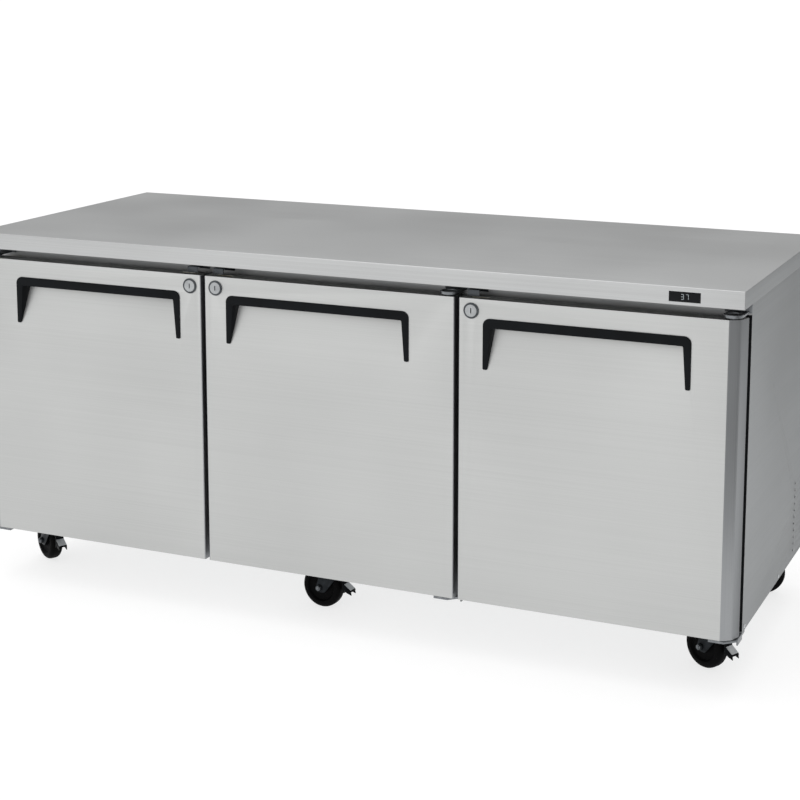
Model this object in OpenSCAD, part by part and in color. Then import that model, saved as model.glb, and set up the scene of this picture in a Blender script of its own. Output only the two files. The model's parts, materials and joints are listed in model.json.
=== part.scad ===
// Three-door worktop refrigerator on casters.
// Millimetres. +Z is up, the doors face -Y, +X is to the right of someone facing the doors.
// The origin is on the floor, under the middle of the worktop.

/* [Cabinet] */
// Width of the worktop
worktop_w = 1845; // [1780:5:1900]
// Depth of the worktop, front to back
worktop_d = 762; // [740:2:790]
// Height of the worktop above the floor
total_h = 860; // [845:1:880]
// Height of the worktop's turned-down edge
lip_h = 37; // [30:1:42]
// Thickness of the worktop and cabinet sheet
sheet_t = 1.5; // [1:0.1:2]
// How far the worktop hangs over each side panel
side_overhang = 3.5; // [3:0.5:6]
// Insulated wall thickness
wall_t = 50; // [42:1:52]

/* [Doors] */
// Width of the centre door
centre_door_w = 606; // [580:2:620]
// Gap between neighbouring doors
door_gap = 10; // [9:0.5:12]
// Thickness of the door's steel pan
door_t = 40; // [38:1:44]
// Sheet thickness of a door pan
pan_t = 1.2; // [1:0.1:1.5]
// How far the slanted outer edge of an end door runs along its face
bevel_w = 31; // [24:1:33]

/* [Handles and locks] */
// Width of a recessed handle
handle_w = 446; // [380:2:460]
// Height of a recessed handle
handle_h = 110; // [95:1:112]
// Distance from the top of the door to the handle
handle_drop = 40; // [40:1:50]
// Distance from the opening edge of the door to the handle
handle_inset = 55; // [48:1:60]
// Radius of the lock's turning face
lock_r = 13; // [11:0.5:13]

/* [Casters] */
// Radius of a caster wheel
wheel_r = 50; // [48:1:51]
// Width of a caster wheel
wheel_w = 32; // [26:1:33]
// Distance from the swivel axis to the wheel's axle
caster_trail = 36; // [34:1:38]

/* [Shelves] */
// Height of the wire shelves above the floor
shelf_z = 470; // [440:5:520]
// Spacing of the shelf wires
wire_pitch = 26; // [22:1:40]

/* [Hidden] */
door_names = ["left", "centre", "right"];
caster_names = ["front_left", "front_centre", "front_right", "rear_left", "rear_centre", "rear_right"];
door_parts = ["skin", "foam", "liner", "gasket", "handle", "lock_barrel", "lock_plug"];
$fn = 64;

eps = 0.01;
run_gap = 0.05;      // radial clearance of every turning fit
far = 5;             // how far a cutting shape runs past the face that it cuts

// Heights and depths of the cabinet
half_w = worktop_w / 2 - side_overhang;
front_y = -worktop_d / 2;
back_y = worktop_d / 2;
lip_z = total_h - lip_h;
body_z = 130;
body_front = front_y + 81;
panel_top = total_h - sheet_t;

// Doors
door_z0 = body_z + 3;
door_z1 = lip_z - 25;
door_front = front_y + 13;
door_back = door_front + door_t;
liner_t = 20;
gasket_t = 7.6;
gasket_w = 20;
gasket_inset = 27;
flange_w = 14;
hinge_y = door_front + 18;
centre_half = centre_door_w / 2;
door_lo = [-half_w, -centre_half, centre_half + door_gap];
door_hi = [-centre_half - door_gap, centre_half, half_w];
hand = [-1, 1, 1];                 // side that the hinge is on
hinge_inset = [26, 18, 26];
function free_x(i) = hand[i] > 0 ? door_lo[i] : door_hi[i];
function hinge_x(i) = hand[i] > 0 ? door_hi[i] - hinge_inset[i] : door_lo[i] + hinge_inset[i];

// Handle: the finger recess has a slanted back that rises from the fold line at its foot
handle_z1 = door_z1 - handle_drop;
handle_z0 = handle_z1 - handle_h;
scoop_d = 32;
scoop_rise = 87;
trim_lap = 5;
trim_corner = 15;
foot_r = 3;
bar_h = 20.5;
bar_d = 12.5;
leg_top_w = 17;
leg_foot_w = 10.5;
trim_proud = 1.5;
function handle_mid(i) = free_x(i) + hand[i] * (handle_inset + handle_w / 2);

// Lock
lock_drop = 26;
lock_inset = 28;
lock_z = door_z1 - lock_drop;
barrel_wall = 2;
bezel_w = 4;
barrel_d = 16;
cam_r = 38;
cam_w = 12;
cam_t = 4;
cam_y = door_front + 20;
function lock_x(i) = free_x(i) + hand[i] * lock_inset;

// Hinge pins and their bores
pin_r = 5;
pin_in = 20;
block_h = 23;
bracket_t = 5;

// Door openings and the cold space inside
open_inset = 50;
open_z0 = door_z0 + open_inset;
open_z1 = door_z1 - open_inset;
in_x = half_w - wall_t;
in_front = body_front + 50;
in_back = back_y - wall_t;
in_z0 = open_z0 - 3;
in_z1 = panel_top - 68;

// Machine compartment at the rear right, and the step it makes in the cold space
bay_x0 = 150;
bay_y0 = 145;
bay_z1 = 355;
step = 45;

// Side louvres
louvre_n = 11;
louvre_pitch = 16;
louvre_y = [195, 365];
louvre_z0 = 148;
louvre_out = 3;
slot_h = 7;

// Display window in the front edge of the worktop
display_x = worktop_w / 2 - 121.5;
display_z = lip_z + 17;
display_w = 65;
display_h = 21;

// Casters: swivel axes, and the direction in which each wheel trails
front_caster_y = -208;
rear_caster_y = 316;
caster_x = [-841, -54, 852, -865, 0, 865];
caster_y = [front_caster_y, front_caster_y, front_caster_y, rear_caster_y, rear_caster_y, rear_caster_y];
trail_angle = [149, 175, 153, -20, 160, 200];
plate_w = 95;
plate_d = 77;
plate_t = 5;
race_z = 118;
crown_t = 7;
king_r = 6;
axle_r = 4;
leg_gap = 18.5;
leg_t = 2.5;

steel = [0.76, 0.77, 0.77];
dark_steel = [0.42, 0.43, 0.45];
black = [0.06, 0.06, 0.07];
foam_tan = [0.88, 0.82, 0.62];
copper = [0.72, 0.42, 0.26];
alloy = [0.82, 0.83, 0.85];

// ---- Helpers ----

module box(lo, hi) {
    translate(lo) cube(hi - lo);
}

// Cylinder along Y from y0 to y1
module rod_y(x, z, r, y0, y1) {
    translate([x, y1, z]) rotate([90, 0, 0]) cylinder(r = r, h = y1 - y0);
}

// Cylinder along X from x0 to x1
module rod_x(y, z, r, x0, x1) {
    translate([x0, y, z]) rotate([0, 90, 0]) cylinder(r = r, h = x1 - x0);
}

// Outline in plan, raised from z0 to z1
module prism(pts, z0, z1) {
    translate([0, 0, z0]) linear_extrude(height = z1 - z0) polygon(pts);
}

// Outline given as [x, z], stretched along Y from y0 to y1
module front_prism(pts, y0, y1) {
    translate([0, y1, 0]) rotate([90, 0, 0]) linear_extrude(height = y1 - y0) polygon(pts);
}

// Outline given as [y, z], stretched along X from x0 to x1
module side_prism(pts, x0, x1) {
    translate([x0, 0, 0]) rotate([90, 0, 90]) linear_extrude(height = x1 - x0) polygon(pts);
}

// Rectangular ring in the XZ plane, w wide, from y0 to y1
module ring(lo, hi, w, y0, y1) {
    difference() {
        box([lo.x, y0, lo.y], [hi.x, y1, hi.y]);
        box([lo.x + w, y0 - far, lo.y + w], [hi.x - w, y1 + far, hi.y - w]);
    }
}

function unit(v) = v / norm(v);

// Arc that rounds the corner at b between a and c
function fillet(a, b, c, r, n) =
    let(u = unit(a - b), v = unit(c - b), half = acos(u * v) / 2)
    let(m = b + unit(u + v) * r / sin(half), p = b + u * r / tan(half) - m, q = b + v * r / tan(half) - m)
    let(a0 = atan2(p.y, p.x), turn = (atan2(q.y, q.x) - a0 + 540) % 360 - 180)
    [for (k = [0:n]) m + r * [cos(a0 + turn * k / n), sin(a0 + turn * k / n)]];

// Polygon whose corners are rounded by the radii given; 0 leaves a corner sharp
function rounded(pts, radii, n = 5) =
    let(m = len(pts))
    [for (i = [0:m - 1]) each radii[i] > 0
        ? fillet(pts[(i + m - 1) % m], pts[i], pts[(i + 1) % m], radii[i], n)
        : [pts[i]]];

// Polygon, anticlockwise, moved inwards by d along every edge
function inset(pts, d) =
    let(m = len(pts))
    [for (i = [0:m - 1])
        let(u = unit(pts[i] - pts[(i + m - 1) % m]), v = unit(pts[(i + 1) % m] - pts[i]))
        let(nu = [-u.y, u.x], nv = [-v.y, v.x])
        pts[i] + (nu + nv) * d / (1 + nu * nv)];

// ---- Doors ----

// Plan of a door: an end door's outer edge has a bevel, and behind it a side that leans out to the back
bevel_d = 13;
side_lean = 9.5;
function left_edge(i) = i == 0
    ? [[door_lo[i] + side_lean, door_front + bevel_d], [door_lo[i] + bevel_w, door_front]]
    : [[door_lo[i], door_front]];
function right_edge(i) = i == 2
    ? [[door_hi[i] - bevel_w, door_front], [door_hi[i] - side_lean, door_front + bevel_d]]
    : [[door_hi[i], door_front]];
function door_plan(i) = rounded(
    concat([[door_lo[i], door_back]], left_edge(i), right_edge(i), [[door_hi[i], door_back]]),
    concat([0], i == 0 ? [12, 3] : [3], i == 2 ? [3, 12] : [3], [0])
);

// Section of the finger recess, as [y, z]
recess = [
    [door_front, handle_z0],
    [door_front + scoop_d, handle_z0 + scoop_rise],
    [door_front + scoop_d, handle_z1 - trim_lap],
    [door_front, handle_z1 - trim_lap]
];

// Recess with its front carried forward, so that it cuts the door's face
recess_cut = concat([[door_front - far, handle_z0]], recess, [[door_front - far, handle_z1 - trim_lap]]);

module hinge_bores(i) {
    for (z = [door_z0 - far, door_z1 - pan_t - block_h + 1])
        translate([hinge_x(i), hinge_y, z]) cylinder(r = pin_r + run_gap, h = block_h + pan_t + far - 1);
}

module hinge_blocks(i, grow = 0) {
    r = 12 + grow;
    for (z = [door_z0 + pan_t - eps, door_z1 - pan_t - block_h - grow])
        translate([hinge_x(i) - r, hinge_y - r + 2, z]) cube([2 * r, 2 * r, block_h + grow + eps]);
}

// Room for the lock's cam, from lying along the door to pointing up
module cam_room(i, z_top) {
    x = [lock_x(i) - hand[i] * 15, lock_x(i) + hand[i] * (cam_r + 4)];
    box([min(x), cam_y - 3, lock_z - 14], [max(x), cam_y + cam_t + 3, z_top]);
}

module cam_slot(i) {
    x = [lock_x(i) - hand[i] * 8, lock_x(i) + hand[i] * 33];
    box([min(x), cam_y - 2, door_z1 - 2 * pan_t], [max(x), cam_y + cam_t + 2, door_z1 + far]);
}

module handle_span(i, grow, pts) {
    half = handle_w / 2 - trim_lap + grow;
    side_prism(pts, handle_mid(i) - half, handle_mid(i) + half);
}

module door_skin(i) {
    plan = door_plan(i);
    color(steel) difference() {
        union() {
            difference() {
                prism(plan, door_z0, door_z1);
                prism(inset(plan, pan_t), door_z0 + pan_t, door_z1 - pan_t);
                box([door_lo[i] + flange_w, door_back - 2 * pan_t, door_z0 + flange_w],
                    [door_hi[i] - flange_w, door_back + far, door_z1 - flange_w]);
            }
            intersection() {
                handle_span(i, pan_t, inset(recess, -pan_t));
                box([door_lo[i], door_front, door_z0], [door_hi[i], door_back, door_z1]);
            }
            intersection() {
                hinge_blocks(i);
                prism(inset(plan, pan_t / 2), door_z0, door_z1);
            }
        }
        handle_span(i, 0, recess_cut);
        rod_y(lock_x(i), lock_z, lock_r + barrel_wall, door_front - far, door_front + far);
        cam_slot(i);
        hinge_bores(i);
    }
}

module door_foam(i) {
    color(foam_tan) difference() {
        union() {
            prism(inset(door_plan(i), pan_t), door_z0 + pan_t, door_z1 - pan_t);
            box([door_lo[i] + flange_w, door_back - 2 * pan_t, door_z0 + flange_w],
                [door_hi[i] - flange_w, door_back, door_z1 - flange_w]);
        }
        handle_span(i, pan_t, inset(recess_cut, -pan_t));
        hinge_blocks(i);
        rod_y(lock_x(i), lock_z, lock_r + barrel_wall, door_front - far, cam_y);
        cam_room(i, door_z1 + far);
    }
}

// Corners of the liner in the XZ plane, moved in by d
function liner_lo(i, d = 0) = [door_lo[i] + gasket_inset + d, door_z0 + gasket_inset + d];
function liner_hi(i, d = 0) = [door_hi[i] - gasket_inset - d, door_z1 - gasket_inset - d];
groove_in = 8;
groove_w = 4;
groove_d = 8;
dish_in = 42;
dish_d = 12;

module door_liner(i) {
    lo = liner_lo(i);
    hi = liner_hi(i);
    dish_lo = liner_lo(i, dish_in);
    dish_hi = liner_hi(i, dish_in);
    top = door_back + liner_t;
    color(black) difference() {
        box([lo.x, door_back, lo.y], [hi.x, top, hi.y]);
        box([dish_lo.x, top - dish_d, dish_lo.y], [dish_hi.x, top + far, dish_hi.y]);
        ring(liner_lo(i, groove_in), liner_hi(i, groove_in), groove_w, top - groove_d, top + far);
    }
}

module door_gasket(i) {
    top = door_back + liner_t;
    color([0.2, 0.2, 0.21]) union() {
        ring(liner_lo(i), liner_hi(i), gasket_w, top, top + gasket_t);
        ring(liner_lo(i, groove_in), liner_hi(i, groove_in), groove_w, top - groove_d + 1, top + eps);
    }
}

// The trim is a black frame round the top and ends of the recess, open at the foot
module door_handle(i) {
    mid = handle_mid(i);
    w = handle_w / 2;
    face = rounded(
        [[w, handle_z0], [w, handle_z1], [-w, handle_z1], [-w, handle_z0],
         [-w + leg_foot_w, handle_z0], [-w + leg_top_w, handle_z1 - bar_h],
         [w - leg_top_w, handle_z1 - bar_h], [w - leg_foot_w, handle_z0]],
        [foot_r, trim_corner, trim_corner, foot_r, foot_r, foot_r, foot_r, foot_r]
    );
    color(black) union() {
        translate([mid, 0, 0]) front_prism(face, door_front - trim_proud, door_front);
        intersection() {
            translate([mid, 0, 0]) front_prism(face, door_front - eps, door_back);
            handle_span(i, 0, recess);
            union() {
                box([mid - w, door_front - far, handle_z0], [mid - w + leg_top_w, door_back, handle_z1]);
                box([mid + w - leg_top_w, door_front - far, handle_z0], [mid + w, door_back, handle_z1]);
                box([mid - w, door_front - far, handle_z1 - bar_h], [mid + w, door_front + bar_d, handle_z1]);
            }
        }
    }
}

module lock_barrel(i) {
    color(dark_steel) difference() {
        union() {
            rod_y(lock_x(i), lock_z, lock_r + bezel_w, door_front - 1.5, door_front);
            rod_y(lock_x(i), lock_z, lock_r + barrel_wall, door_front - eps, door_front + barrel_d);
        }
        rod_y(lock_x(i), lock_z, lock_r + run_gap, door_front - far, door_front + barrel_d + far);
    }
}

module lock_plug(i) {
    key_w = 2.4;
    key_h = 11;
    x = [lock_x(i) - hand[i] * 9, lock_x(i) + hand[i] * cam_r];
    color(alloy) difference() {
        union() {
            rod_y(lock_x(i), lock_z, lock_r, door_front - 2.2, cam_y + eps);
            box([min(x), cam_y, lock_z - cam_w / 2], [max(x), cam_y + cam_t, lock_z + cam_w / 2]);
        }
        box([lock_x(i) - key_w / 2, door_front - far, lock_z - key_h / 2],
            [lock_x(i) + key_w / 2, door_front + 4, lock_z + key_h / 2]);
    }
}

// ---- Cabinet ----

hem_w = 12;

module worktop() {
    color(steel) difference() {
        box([-worktop_w / 2, front_y, lip_z], [worktop_w / 2, back_y, total_h]);
        box([-worktop_w / 2 + sheet_t, front_y + hem_w, lip_z - far],
            [worktop_w / 2 - sheet_t, back_y - sheet_t, panel_top]);
        box([-worktop_w / 2 + sheet_t, front_y + sheet_t, lip_z + sheet_t],
            [worktop_w / 2 - sheet_t, front_y + hem_w + 1, panel_top]);
        box([display_x - display_w / 2, front_y - far, display_z - display_h / 2],
            [display_x + display_w / 2, front_y + far, display_z + display_h / 2]);
    }
}

module temperature_display() {
    bezel = 0.2;
    digit_h = 11;
    digit_w = 6;
    stroke = 1.4;
    relief = 0.5;
    color(black) difference() {
        union() {
            box([display_x - display_w / 2 + bezel, front_y, display_z - display_h / 2 + bezel],
                [display_x + display_w / 2 - bezel, front_y + 8, display_z + display_h / 2 - bezel]);
            box([display_x - display_w / 2 + 3, front_y + 8 - eps, display_z - display_h / 2 + 1],
                [display_x + display_w / 2 - 3, front_y + 30, display_z + display_h / 2 - 1]);
        }
        for (dx = [-5, 5])
            translate([display_x + dx, front_y, display_z])
                difference() {
                    box([-digit_w / 2, -far, -digit_h / 2], [digit_w / 2, relief, digit_h / 2]);
                    box([-digit_w / 2 + stroke, -2 * far, stroke / 2],
                        [digit_w / 2 - stroke, far, digit_h / 2 - stroke]);
                    box([-digit_w / 2 + stroke, -2 * far, -digit_h / 2 + stroke],
                        [digit_w / 2 - stroke, far, -stroke / 2]);
                }
    }
}

module left_side_panel() {
    color(steel) box([-half_w, body_front, body_z], [-half_w + sheet_t, back_y - sheet_t, panel_top]);
}

module right_side_panel() {
    color(steel) union() {
        difference() {
            box([half_w - sheet_t, body_front, body_z], [half_w, back_y - sheet_t, panel_top]);
            for (k = [0:louvre_n - 1])
                translate([0, 0, louvre_z0 + k * louvre_pitch])
                    box([half_w - far, louvre_y[0], 0], [half_w + far, louvre_y[1], slot_h]);
        }
        for (k = [0:louvre_n - 1])
            translate([half_w, louvre_y[0], louvre_z0 + k * louvre_pitch + slot_h])
                rotate([90, 0, 0]) mirror([0, 0, 1])
                    linear_extrude(height = louvre_y[1] - louvre_y[0])
                        polygon([[-sheet_t, 0], [0, 2], [louvre_out, -5], [louvre_out - 1, -6]]);
    }
}

gland_x = 620;
gland_z = 330;

// Rear sheet, with an air grille behind the machine compartment and a gland for the supply lead
module back_panel() {
    slots = 9;
    pitch = 18;
    color(steel) union() {
        difference() {
            box([-half_w, back_y - sheet_t, body_z], [half_w, back_y, lip_z - 1]);
            for (k = [0:slots - 1], x = [bay_x0 + 60, bay_x0 + 290])
                translate([x, 0, body_z + 25 + k * pitch])
                    box([0, back_y - far, 0], [200, back_y + far, slot_h]);
            rod_y(gland_x, gland_z, 8, back_y - far, back_y + far);
        }
        difference() {
            rod_y(gland_x, gland_z, 12, back_y - 14, back_y);
            rod_y(gland_x, gland_z, 5, back_y - 20, back_y + far);
        }
    }
}

pad_y = [74, 155];

module base_pan() {
    color(dark_steel) union() {
        box([-half_w + sheet_t, body_front, body_z], [half_w - sheet_t, back_y - sheet_t, body_z + sheet_t]);
        for (s = [-1, 1])
            box([s * (half_w - 44) - 40, pad_y[0], body_z - 4], [s * (half_w - 44) + 40, pad_y[1], body_z + eps]);
    }
}

function open_lo(i) = [door_lo[i] + open_inset, open_z0];
function open_hi(i) = [door_hi[i] - open_inset, open_z1];

// Door openings, grown by g, from y0 to y1
module openings(g, y0, y1) {
    for (i = [0:2])
        box([open_lo(i).x - g, y0, open_lo(i).y - g], [open_hi(i).x + g, y1, open_hi(i).y + g]);
}

module front_frame() {
    color(steel) difference() {
        union() {
            box([-half_w + sheet_t, body_front, body_z + sheet_t],
                [half_w - sheet_t, body_front + sheet_t, panel_top]);
            openings(sheet_t, body_front, in_front - sheet_t);
        }
        openings(0, body_front - far, in_front + far);
    }
}

// The cold space, grown by g: a box less the step over the machine compartment
module cold_space(g) {
    difference() {
        box([-in_x - g, in_front - g, in_z0 - g], [in_x + g, in_back + g, in_z1 + g]);
        box([bay_x0 - step + g, bay_y0 - step + g, in_z0 - far], [in_x + far, in_back + far, bay_z1 + step - g]);
    }
}

module inner_liner() {
    color(alloy) difference() {
        cold_space(sheet_t);
        cold_space(0);
        openings(sheet_t, in_front - far, in_front + far);
    }
}

module cabinet_foam() {
    color(foam_tan) difference() {
        box([-half_w + sheet_t, body_front + sheet_t, body_z + sheet_t],
            [half_w - sheet_t, back_y - sheet_t, panel_top]);
        cold_space(sheet_t);
        openings(sheet_t, body_front - far, in_front + far);
        box([bay_x0, bay_y0, body_z], [half_w, back_y, bay_z1]);
    }
}

// Plan of a hinge plate: its outer front corner is cut off in line with the bevel of an end door
function plate_plan(i, y1) =
    let(x_out = hinge_x(i) + hand[i] * 26, x_in = hinge_x(i) - hand[i] * 30, y0 = hinge_y - 12)
    let(pts = [[x_in, y0], [x_out - hand[i] * 24, y0], [x_out, y0 + 22], [x_out, y1], [x_in, y1]])
    hand[i] > 0 ? pts : [for (k = [4:-1:0]) pts[k]];

// Top hinge plates, each with a rimmed boss round its pin, and bottom hinge plates
module hinge_brackets() {
    top_z = door_z1 + 4;
    boss_r = 20;
    rim_w = 5;
    color(alloy) for (i = [0:2]) {
        x = [for (p = plate_plan(i, body_front)) p.x];
        translate([hinge_x(i), hinge_y, top_z]) difference() {
            union() {
                cylinder(r = boss_r, h = 6);
                box([-boss_r, 0, 0], [boss_r, body_front - hinge_y, 4]);
            }
            translate([0, 0, 4]) cylinder(r = boss_r - rim_w, h = far);
        }
        box([min(x), body_front - 2.5, top_z], [max(x), body_front, top_z + 17]);
        translate([hinge_x(i), hinge_y, door_z1 - pin_in]) cylinder(r = pin_r, h = pin_in + 4 + eps);
        translate([hinge_x(i), hinge_y, door_z1 + 0.5]) cylinder(r = pin_r + 4, h = 3.5 + eps);
        prism(plate_plan(i, body_front + 22), body_z - bracket_t, body_z);
        translate([hinge_x(i), hinge_y, body_z - eps]) cylinder(r = pin_r, h = door_z0 - body_z + pin_in);
        translate([hinge_x(i), hinge_y, body_z - eps]) cylinder(r = pin_r + 4, h = 2.5);
        tip = hand[i] > 0 ? max(x) - 3 : min(x);
        box([tip, hinge_y + 12, body_z - 13], [tip + 3, hinge_y + 50, body_z - eps]);
    }
}

// Angle over each lock, behind whose lip the cam turns up
module lock_strikes() {
    plate_z = door_z1 + 14;
    lip_y = cam_y - 6;
    w = 13;
    color(alloy) for (i = [0:2]) {
        box([lock_x(i) - w, lip_y, plate_z], [lock_x(i) + w, body_front, plate_z + 2]);
        box([lock_x(i) - w, lip_y, door_z1 + 3], [lock_x(i) + w, lip_y + 2, plate_z + 2]);
        box([lock_x(i) - w, body_front - 2, door_z1 + 3], [lock_x(i) + w, body_front, plate_z + 2]);
    }
}

// ---- Refrigeration ----

unit_y = 262;
unit_z = 240;
fan_r = 78;
hub_r = 18;
shaft_r = 4;

module compressor() {
    r = 88;
    foot_z = body_z + sheet_t;
    profile = rounded([[0, 0], [r - 18, 0], [r, 30], [r, 120], [r - 30, 170], [0, 178]], [0, 16, 30, 30, 30, 0], 5);
    color(black) union() {
        translate([300, unit_y, foot_z + 14]) rotate_extrude() polygon(profile);
        translate([300 - 100, unit_y - 80, foot_z + 10]) cube([200, 160, 5]);
        for (sx = [-1, 1], sy = [-1, 1])
            translate([300 + sx * 85, unit_y + sy * 65, foot_z]) cylinder(r = 11, h = 18);
        translate([300 + 76, unit_y - 25, foot_z + 70]) cube([40, 50, 55]);
        translate([300 - 30, unit_y, foot_z + 180]) cylinder(r = 5, h = 22);
    }
}

// Finned coil: n plates across X, threaded by tubes that run along X
module coil(lo, hi, n, rows) {
    gap = (hi.x - lo.x) / (n - 1);
    union() {
        for (k = [0:n - 1])
            box([lo.x + k * gap - 0.5, lo.y, lo.z], [lo.x + k * gap + 0.5, hi.y, hi.z]);
        for (r = [0:rows - 1])
            rod_x((lo.y + hi.y) / 2, lo.z + (r + 0.5) * (hi.z - lo.z) / rows, 5, lo.x - 12, hi.x + 12);
    }
}

condenser_x = [800, 856];

module condenser_coil() {
    color(copper) coil([condenser_x[0], 165, 150], [condenser_x[1], 359, 330], 12, 6);
    color(copper) box([condenser_x[0] - 12, 180, body_z + sheet_t], [condenser_x[1] + 12, 340, 153]);
}

// Plate with the fan's opening, and the motor on its stand
module condenser_shroud() {
    color(dark_steel) union() {
        difference() {
            box([778, 155, body_z + sheet_t], [781, 369, 345]);
            rod_x(unit_y, unit_z, fan_r + 5, 770, 790);
        }
        rod_x(unit_y, unit_z, 32, 660, 712);
        rod_x(unit_y, unit_z, shaft_r, 711, 748);
        box([668, unit_y - 20, body_z + sheet_t], [704, unit_y + 20, unit_z - 25]);
        box([660, unit_y - 50, body_z + sheet_t], [779, unit_y + 50, body_z + sheet_t + 3]);
    }
}

// Hub with a shaft bore and five pitched blades; the shaft lies along Z
module fan(blade_r) {
    blades = 5;
    hub_h = 26;
    difference() {
        union() {
            cylinder(r = hub_r, h = hub_h, center = true);
            for (k = [0:blades - 1])
                rotate(k * 360 / blades) rotate([28, 0, 0])
                    translate([hub_r - 4, -18, -1]) cube([blade_r - hub_r + 2, 36, 2]);
        }
        translate([0, 0, -hub_h]) cylinder(r = shaft_r + run_gap, h = hub_h * 2);
    }
}

module condenser_fan() {
    color(alloy) translate([738, unit_y, unit_z]) rotate([0, 90, 0]) fan(fan_r);
}

evap_lo = [-285, 236, 565];
evap_hi = [285, in_back, 782];
evap_fan_x = -195;
evap_fan_z = 673;
evap_fan_r = 70;

module evaporator_cover() {
    t = 1.5;
    color(alloy) union() {
        difference() {
            box(evap_lo, evap_hi);
            box(evap_lo + [t, t, t], evap_hi + [-t, far, -t]);
            rod_y(evap_fan_x, evap_fan_z, evap_fan_r + 6, evap_lo.y - far, evap_lo.y + far);
            for (k = [0:8])
                box([-40 + k * 32, evap_lo.y - far, evap_lo.z + 40], [-32 + k * 32, evap_lo.y + far, evap_hi.z - 40]);
        }
        rod_y(evap_fan_x, evap_fan_z, 26, 292, in_back - 4);
        rod_y(evap_fan_x, evap_fan_z, shaft_r, 258, 293);
        box([evap_fan_x - 14, in_back - 6, evap_lo.z + 1], [evap_fan_x + 14, in_back, evap_hi.z - 1]);
    }
}

module evaporator_coil() {
    color(copper) coil([-90, 262, 590], [255, 322, 756], 24, 5);
}

module evaporator_fan() {
    color(alloy) translate([evap_fan_x, 268, evap_fan_z]) rotate([90, 0, 0]) fan(evap_fan_r);
}

// ---- Shelves ----

rail_w = 18;
rail_d = 8;
rail_z = [412, 742];
wire_r = 1.8;
rod_r = 3;
shelf_y = [in_front + 14, in_back - 14];
shelf_side = in_x - 11;
mullion_x = centre_half + door_gap / 2;
shelf_lo_x = [-shelf_side, -mullion_x + 12, mullion_x + 12];
shelf_hi_x = [-mullion_x - 12, mullion_x - 12, shelf_side];
wall_rail_y = [in_front + 60, in_back - 60];

// Slotted channel standing on the XY origin, its open side towards -Y
module rail() {
    pitch = 25;
    difference() {
        box([-rail_w / 2, -rail_d, rail_z[0]], [rail_w / 2, 0, rail_z[1]]);
        box([-rail_w / 2 + 1.5, -rail_d + 1.5, rail_z[0] - far], [rail_w / 2 - 1.5, far, rail_z[1] + far]);
        for (z = [rail_z[0] + 15:pitch:rail_z[1] - 10])
            box([-3.5, -rail_d - far, z], [3.5, -rail_d + 2, z + 9]);
    }
}

module shelf_standards() {
    color(alloy) union() {
        for (s = [-1, 1], y = wall_rail_y)
            translate([s * in_x, y, 0]) rotate(-s * 90) rail();
        for (s = [-1, 1]) {
            translate([s * mullion_x, in_back, 0]) rail();
            translate([s * mullion_x, in_front, 0]) rotate(180) rail();
        }
    }
}

// Bracket that hooks into a rail and carries a corner of a shelf
module clip(w) {
    box([-w / 2, -rail_d - 14, shelf_z - 9], [w / 2, -rail_d, shelf_z - 5]);
    box([-w / 2, -rail_d - 2, shelf_z - 16], [w / 2, -rail_d, shelf_z - 5]);
}

module shelf_clips() {
    color(alloy) union() {
        for (s = [-1, 1], y = wall_rail_y)
            translate([s * in_x, y, 0]) rotate(-s * 90) clip(16);
        for (s = [-1, 1]) {
            translate([s * mullion_x, in_back, 0]) clip(56);
            translate([s * mullion_x, in_front, 0]) rotate(180) clip(56);
        }
    }
}

// Coated wire shelf: a frame of rods with wires lying over them
module shelf(i) {
    x0 = shelf_lo_x[i];
    x1 = shelf_hi_x[i];
    n = floor((x1 - x0 - 2 * rod_r) / wire_pitch);
    bars = 5;
    color([0.9, 0.91, 0.9]) union() {
        for (k = [0:bars - 1]) {
            y = shelf_y[0] + rod_r + k * (shelf_y[1] - shelf_y[0] - 2 * rod_r) / (bars - 1);
            translate([x0, y, shelf_z - 2]) rotate([0, 90, 0]) rotate(22.5) cylinder(r = rod_r, h = x1 - x0, $fn = 8);
        }
        for (k = [0:n]) {
            x = (x0 + x1) / 2 + (k - n / 2) * wire_pitch;
            translate([x, shelf_y[0], shelf_z + 2]) rotate([-90, 0, 0]) rotate(22.5)
                cylinder(r = wire_r, h = shelf_y[1] - shelf_y[0], $fn = 8);
        }
    }
}

// ---- Casters ----

module at_caster(k) {
    translate([caster_x[k], caster_y[k], 0]) rotate(trail_angle[k]) children();
}

// Top plate, ball race, kingpin and its nut; the same for every caster, and fixed to the base
module caster_plates() {
    nut_z = race_z - crown_t - 1 - 6;
    color(dark_steel) for (k = [0:5])
        translate([caster_x[k], caster_y[k], 0]) union() {
            difference() {
                box([-plate_w / 2, -plate_d / 2, body_z - plate_t], [plate_w / 2, plate_d / 2, body_z]);
                for (sx = [-1, 1], sy = [-1, 1])
                    translate([sx * 38, sy * 28, body_z - plate_t - far]) cylinder(r = 4.5, h = plate_t + 2 * far);
            }
            for (sx = [-1, 1], sy = [-1, 1])
                translate([sx * 38, sy * 28, body_z - plate_t - 5]) {
                    cylinder(r = 6.5, h = 5.5, $fn = 6);
                    cylinder(r = 4, h = plate_t + 5 - 0.5);
                }
            translate([0, 0, race_z + 0.5]) cylinder(r = 25, h = body_z - plate_t - race_z);
            translate([0, 0, nut_z + eps]) cylinder(r = king_r, h = race_z + 1 - nut_z);
            translate([0, 0, nut_z]) cylinder(r = 10, h = 6, $fn = 6);
        }
}

// Side plate of the fork, as [x, z] with x along the trail
leg = rounded(
    [[-24, race_z], [-24, race_z - 18], [caster_trail - 13, wheel_r - 11],
     [caster_trail + 13, wheel_r - 11], [26, race_z]],
    [0, 5, 12, 12, 0]
);

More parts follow.
